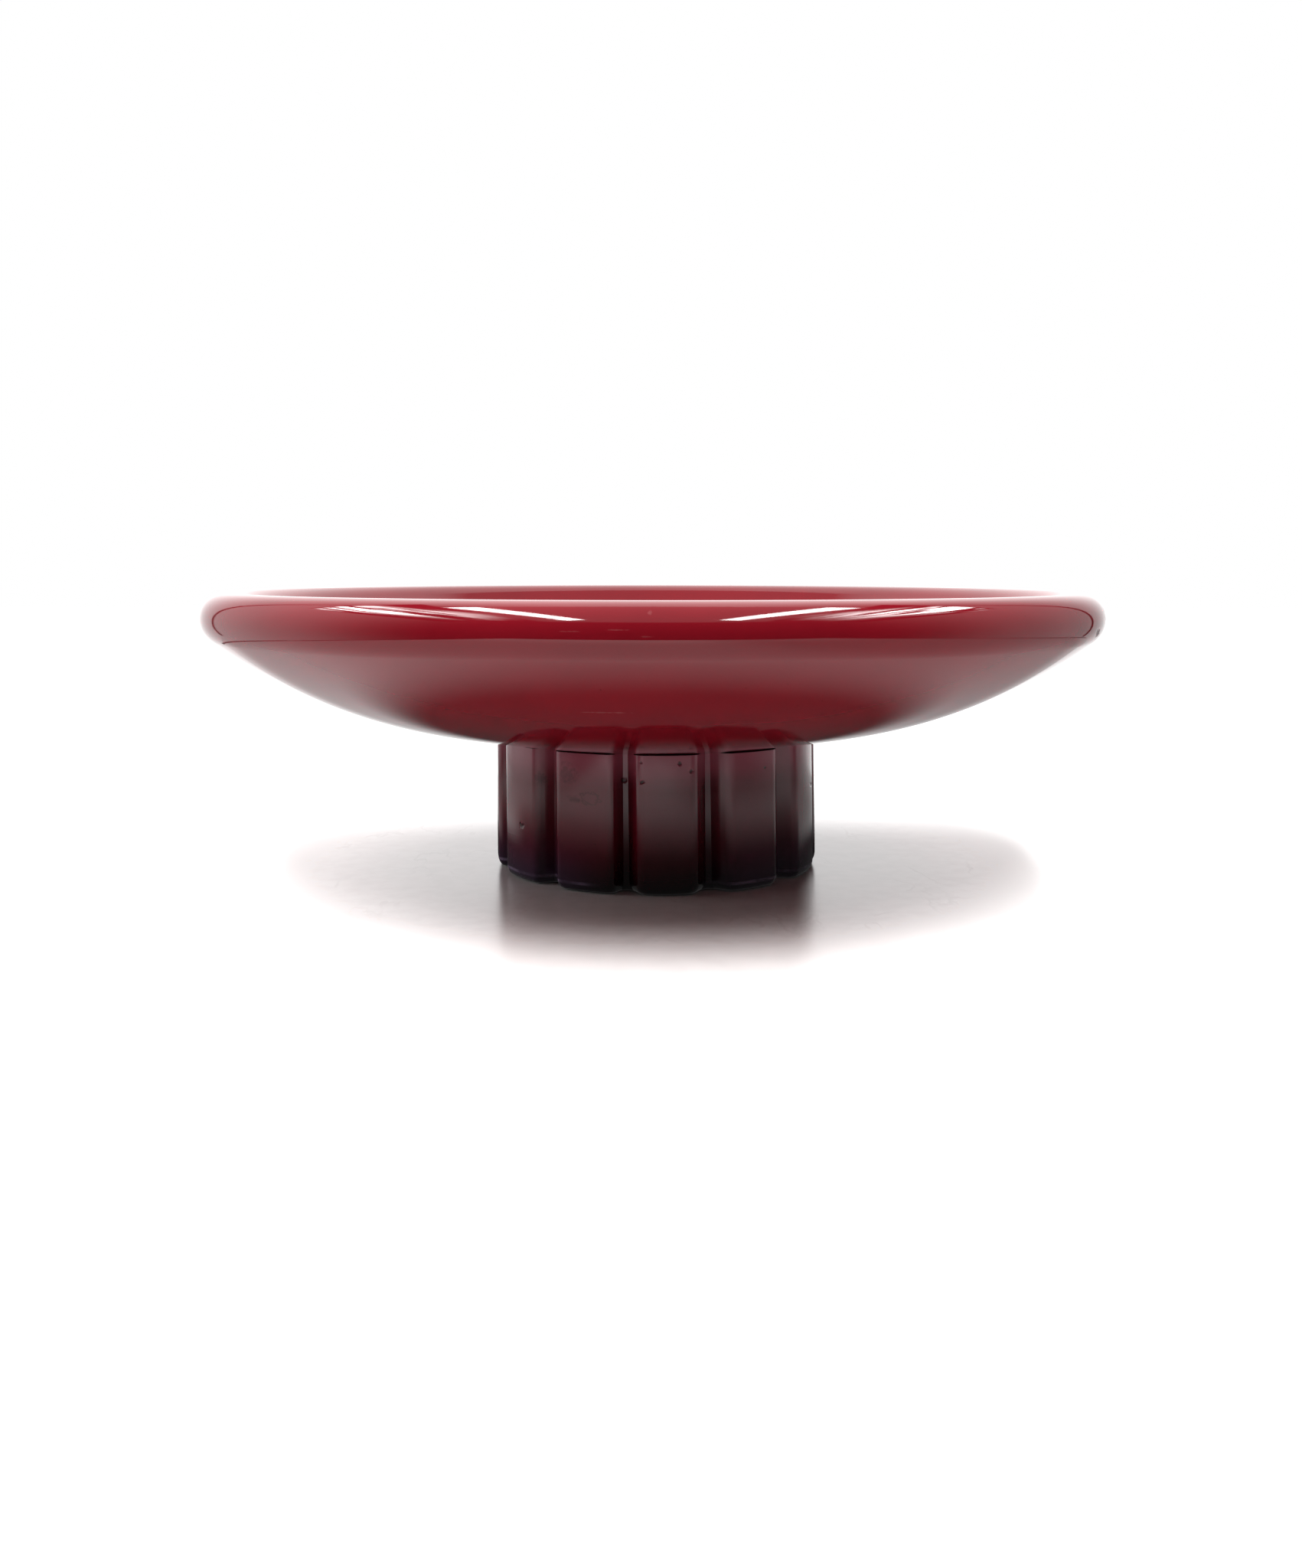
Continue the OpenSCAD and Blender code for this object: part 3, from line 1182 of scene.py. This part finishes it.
@dataclass
class MirroredTable(StageCraft):
    """The sheet that mirrors see for the table, dim under the dish, on a dark one that shows as its seam."""

    left: float = -0.275
    right: float = 0.345
    front: float = -0.5
    back: float = BOARD_BACK + SEAM
    seam: float = SEAM / 2
    depth: float = 0.1 * MM
    seam_depth: float = 0.11 * MM
    strength: float = SHEET_GLOW
    under_dish: Span = (0.092, 0.145)
    under_share: float = 0.06
    gradients: tuple[Gradient, ...] = (
        Gradient(Axis.Y, -0.06, 0.1, 0.7),
        Gradient(Axis.X, 0.03, 0.15, 0.65),
        Gradient(Axis.Y, 0.1, 0.18, 1.5),
        Gradient(Axis.Y, -0.28, -0.42, 1.3),
    )

    def lay(self, name: str, past: float, depth: float) -> Bench:
        """Lays one sheet.

        Args:
            name: Its name.
            past: How far it reaches out on three sides.
            depth: How far below the table it lies.

        Returns:
            Its material.
        """
        left, right, front = self.left - past, self.right + past, self.front - past
        middle = Vector(((right + left) / 2, (front + self.back) / 2, -depth))
        return self.glow(self.sheet(name, Vector((right - left, self.back - front)), middle))

    def build(self) -> None:
        """Lays the bright sheet and the dark one."""
        bench = self.lay("table_sheet", 0.0, self.depth)
        dim = self.under_share * self.strength
        lit = bench.ramp(bench.from_axis(), *self.under_dish, start=dim, end=self.strength)
        bench.feed("Emission Strength", bench.product(lit, *(g.on(bench) for g in self.gradients)))
        self.lay("table_seam", self.seam, self.seam_depth)


@dataclass
class Board(StageCraft):
    """The white board behind the dish that its lip mirrors, before a dark one that shows as its seam."""

    back: float = BOARD_BACK
    side: float = 0.39
    top: float = 1.0
    seam: float = SEAM
    seam_back: float = BOARD_BACK + SEAM / 10
    sunk: float = 0.01
    strength: float = 1.9
    bright: float = 0.1
    left_share: float = 0.5
    right_share: float = 0.35

    def stand(self, name: str, past: float, back: float) -> Bench:
        """Stands one board on the table.

        Args:
            name: Its name.
            past: How far it reaches out at the sides and at the top.
            back: How far behind the middle of the dish it stands.

        Returns:
            Its material.
        """
        span = Vector((2 * (self.side + past), self.top + past))
        middle = Vector((0, back, span.y / 2 - self.sunk))
        return self.glow(self.sheet(name, span, middle, math.pi / 2))

    def build(self) -> None:
        """Stands the bright board and the dark one."""
        bench = self.stand("board", 0.0, self.back)
        across = bench.axis(Axis.X)
        left = bench.ramp(across, -self.side, -self.bright, self.left_share * self.strength, self.strength)
        right = bench.ramp(across, self.side, self.bright, self.right_share * self.strength, self.strength)
        bench.feed("Emission Strength", bench.math("MINIMUM", left, right))
        self.stand("board_seam", self.seam, self.seam_back)


@dataclass
class Wings(StageCraft):
    """A streaked pale card outside each bar, which shows only in mirrors."""

    aside: float = 0.38
    middle: float = -0.16
    height: float = BAR_HEIGHT
    size: Span = (0.28, 0.62)
    strength: float = 48.0
    bow: Span = (-0.3, 0.15)
    bow_aside: Span = (0.34, 0.42)
    half_width: float = 0.12
    front: Span = (-0.46, -0.02)
    back: Span = (0.15, 0.08)

    def build(self) -> None:
        """Hangs both cards."""
        for side in (-1, 1):
            middle = Vector((side * self.aside, self.middle, self.height))
            bench = self.glow(self.sheet(f"wing_{side}", Vector(self.size), middle))
            aside = bench.math("ABSOLUTE", bench.axis(Axis.X))
            along = bench.axis(Axis.Y)
            bow = bench.ramp(along, *self.bow, *self.bow_aside)
            off_bow = bench.math("ABSOLUTE", bench.math("SUBTRACT", aside, bow))
            fade = bench.ramp(off_bow, self.half_width, 0.0)
            reach = bench.product(bench.ramp(along, *self.front), bench.ramp(along, *self.back))
            streaks = bench.ramp(bench.noise(scale=1.0, detail=3.0, stretch=(44.0, 3.0, 1.0)), 0.4, 0.62)
            bench.feed("Emission Strength", bench.product(fade, reach, streaks, self.strength))


@dataclass
class Flag(StageCraft):
    """A low curved flag before the foot, which its ribs mirror dark towards the toe and nothing else sees."""

    radius: float = 0.075
    height: float = 0.03
    steps: int = 64
    dark_below: float = 0.007
    dark: float = 0.06
    bright_at: float = 1.07
    bright: float = SHEET_GLOW
    solid_below: float = 0.6
    ends: Span = (-0.008, -0.03)

    def build(self) -> None:
        """Stands the flag."""
        bm = bmesh.new()
        start = bmesh.ops.create_vert(bm, co=(-self.radius, 0, 0))["vert"]
        bmesh.ops.spin(bm, geom=start, cent=(0, 0, 0), axis=(0, 0, 1), angle=math.pi, steps=self.steps)
        made = bmesh.ops.extrude_edge_only(bm, edges=bm.edges[:])["geom"]
        raised = [v for v in made if isinstance(v, bmesh.types.BMVert)]
        bmesh.ops.translate(bm, verts=raised, vec=(0, 0, self.height))
        bm.normal_update()
        inward = [f for f in bm.faces if f.normal.dot(f.calc_center_median()) < 0]
        bmesh.ops.reverse_faces(bm, faces=inward)
        bench = self.glow(self.prop(bm, "flag"))
        height = bench.axis(Axis.Z)
        shine = bench.ramp(height, self.dark_below, self.bright_at * self.height, self.dark, self.bright)
        bench.feed("Emission Strength", shine)
        inside = bench.add("ShaderNodeNewGeometry").outputs["Backfacing"]
        fade = bench.ramp(height, self.height, self.solid_below * self.height)
        ends = bench.ramp(bench.axis(Axis.Y), *self.ends)
        bench.feed("Alpha", bench.product(inside, bench.product(fade, ends)))


@dataclass
class FootedDish:
    """The whole object: its pieces, what they stand for and their finishes."""

    screws: int = 3
    screw_ring: float = 20.0 * MM
    lip_marks: tuple[Mark, ...] = (
        Mark(Blemish.SCRATCH, -0.8, 92.7, 0.5),
        Mark(Blemish.SCRATCH, -20.0, 88.2, 0.2, 12.0),
        Mark(Blemish.SCRATCH, -8.4, 88.6, 0.2, 14.0),
        Mark(Blemish.SCRATCH, -1.5, 87.0, 0.2, 9.0),
        Mark(Blemish.SCRATCH, -12.5, 66.1, 0.25, 28.0),
        Mark(Blemish.SPECK, 133.4, 84.1, 1.3),
        Mark(Blemish.RING, 140.8, 89.3, 1.6),
    )
    foot_marks: tuple[Mark, ...] = (
        Mark(Blemish.SMUDGE, -36.5, 35.3, 2.2),
        Mark(Blemish.SPECK, -43.3, 18.9, 0.9),
        Mark(Blemish.SMUDGE, -27.3, 38.5, 3.4),
        Mark(Blemish.RING, -19.8, 30.7, 1.8, 1.6),
        Mark(Blemish.SMUDGE, -24.5, 30.3, 1.2, 2.5),
        Mark(Blemish.SPECK, -9.2, 36.6, 0.9),
        Mark(Blemish.SPECK, -3.5, 43.0, 0.5),
        Mark(Blemish.SPECK, -3.3, 36.8, 0.7),
        Mark(Blemish.SPECK, 8.6, 42.7, 0.7),
        Mark(Blemish.SPECK, 12.2, 40.5, 0.8),
        Mark(Blemish.SPECK, 36.4, 39.8, 0.5),
        Mark(Blemish.SPECK, 54.2, 30.2, 0.7),
    )

    def screw_places(self) -> list[Vector]:
        """The plan positions of the screws."""
        angles = (math.pi / 2 + 2 * math.pi * i / self.screws for i in range(self.screws))
        return [polar(self.screw_ring, angle) for angle in angles]

    @staticmethod
    def dress(piece: bpy.types.Object, node: str, slot: str, finish: bpy.types.Material) -> None:
        """Gives a new piece its finish, and lets it stand for a solid.

        Args:
            piece: The piece.
            node: The solid that it stands for.
            slot: The record's material slot, which is not used.
            finish: The material.
        """
        piece.data.materials.clear()
        piece.data.materials.append(finish)
        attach(piece, BODY)
        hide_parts(node)
        LOG.info("%s stands for %s with %d faces", piece.name, node, len(piece.data.polygons))

    @staticmethod
    def coat(node: str, finish: bpy.types.Material) -> None:
        """Gives a solid that stays as it is a better material.

        Args:
            node: The solid's name.
            finish: The material.
        """
        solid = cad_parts[node]
        solid.data.materials.clear()
        solid.data.materials.append(finish)
        LOG.info("%s keeps its solid", node)

    def build(self) -> None:
        """Makes and dresses every piece."""
        places = self.screw_places()
        red = Lacquer(
            name="dish_lacquer",
            red=(0.245, 0.007, 0.015),
            shade=(0.215, 0.006, 0.013),
            gloss=0.05,
            haze=0.08,
            hairlines=0.6,
            marks=self.lip_marks,
        )
        foot_red = Lacquer(
            name="foot_lacquer",
            red=(0.19, 0.006, 0.019),
            shade=(0.135, 0.004, 0.014),
            gloss=0.1,
            haze=0.2,
            hairlines=1.0,
            marks=self.foot_marks,
            # The foot's lacquer carries painted shade and light.
            painted_shading=PaintedShading(),
        )
        brass = Metal("turned_brass", bright=(0.78, 0.56, 0.25), dull=(0.5, 0.34, 0.14), rough=0.25)
        zinc = Metal("screw_zinc", bright=(0.62, 0.62, 0.63), dull=(0.42, 0.42, 0.44), rough=0.3)
        washer_zinc = Metal("washer_zinc", bright=(0.66, 0.66, 0.66), dull=(0.48, 0.48, 0.5), rough=0.34)
        self.dress(RolledDish().build(places), "dish", "dish_lacquer", red.material())
        self.dress(FlutedFoot().build(places), "fluted_foot", "foot_lacquer", foot_red.material())
        pad = FeltPad().build()
        self.dress(pad, "base_pad", "pad_felt", Felt().material())
        self.coat("threaded_inserts", brass.material())
        self.coat("foot_screws", zinc.material())
        self.coat("screw_washers", washer_zinc.material())


def main() -> None:
    """Builds the stage and the object."""
    logging.basicConfig(level=logging.INFO, format="%(name)s: %(message)s")
    bpy.context.scene.view_settings.view_transform = "Standard"
    for part in (Camera(), Lamps(), Room(), TableTop(), MirroredTable(), Board(), Wings(), Flag()):
        part.build()
    FootedDish().build()


if __name__ == "__main__":
    main()
